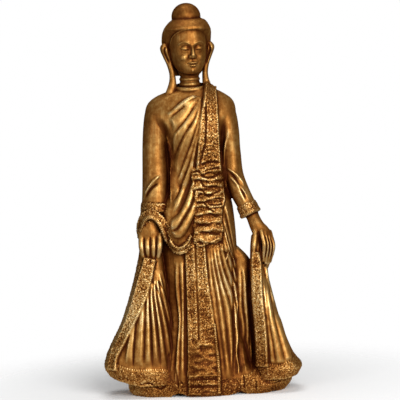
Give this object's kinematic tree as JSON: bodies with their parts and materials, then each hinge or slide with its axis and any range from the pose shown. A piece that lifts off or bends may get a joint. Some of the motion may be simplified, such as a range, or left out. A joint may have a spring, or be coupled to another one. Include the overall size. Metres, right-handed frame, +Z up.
{
  "type": "buddha statuette",
  "caption": "Carved and gilded wooden statuette of a standing robed figure holding out both edges of a pleated robe.",
  "frame": {"origin": "on the standing surface, under the middle of the figure's body", "axes": "+X to the viewer's right, which is the figure's left; +Y away from the viewer, to the figure's back; +Z up"},
  "size_m": [0.2547, 0.1018, 0.5],
  "materials": {
    "gilded_wood": "worn gilding over brown lacquer"
  },
  "bodies": {
    "root": {"figure": "gilded_wood"}
  },
  "joints": []
}
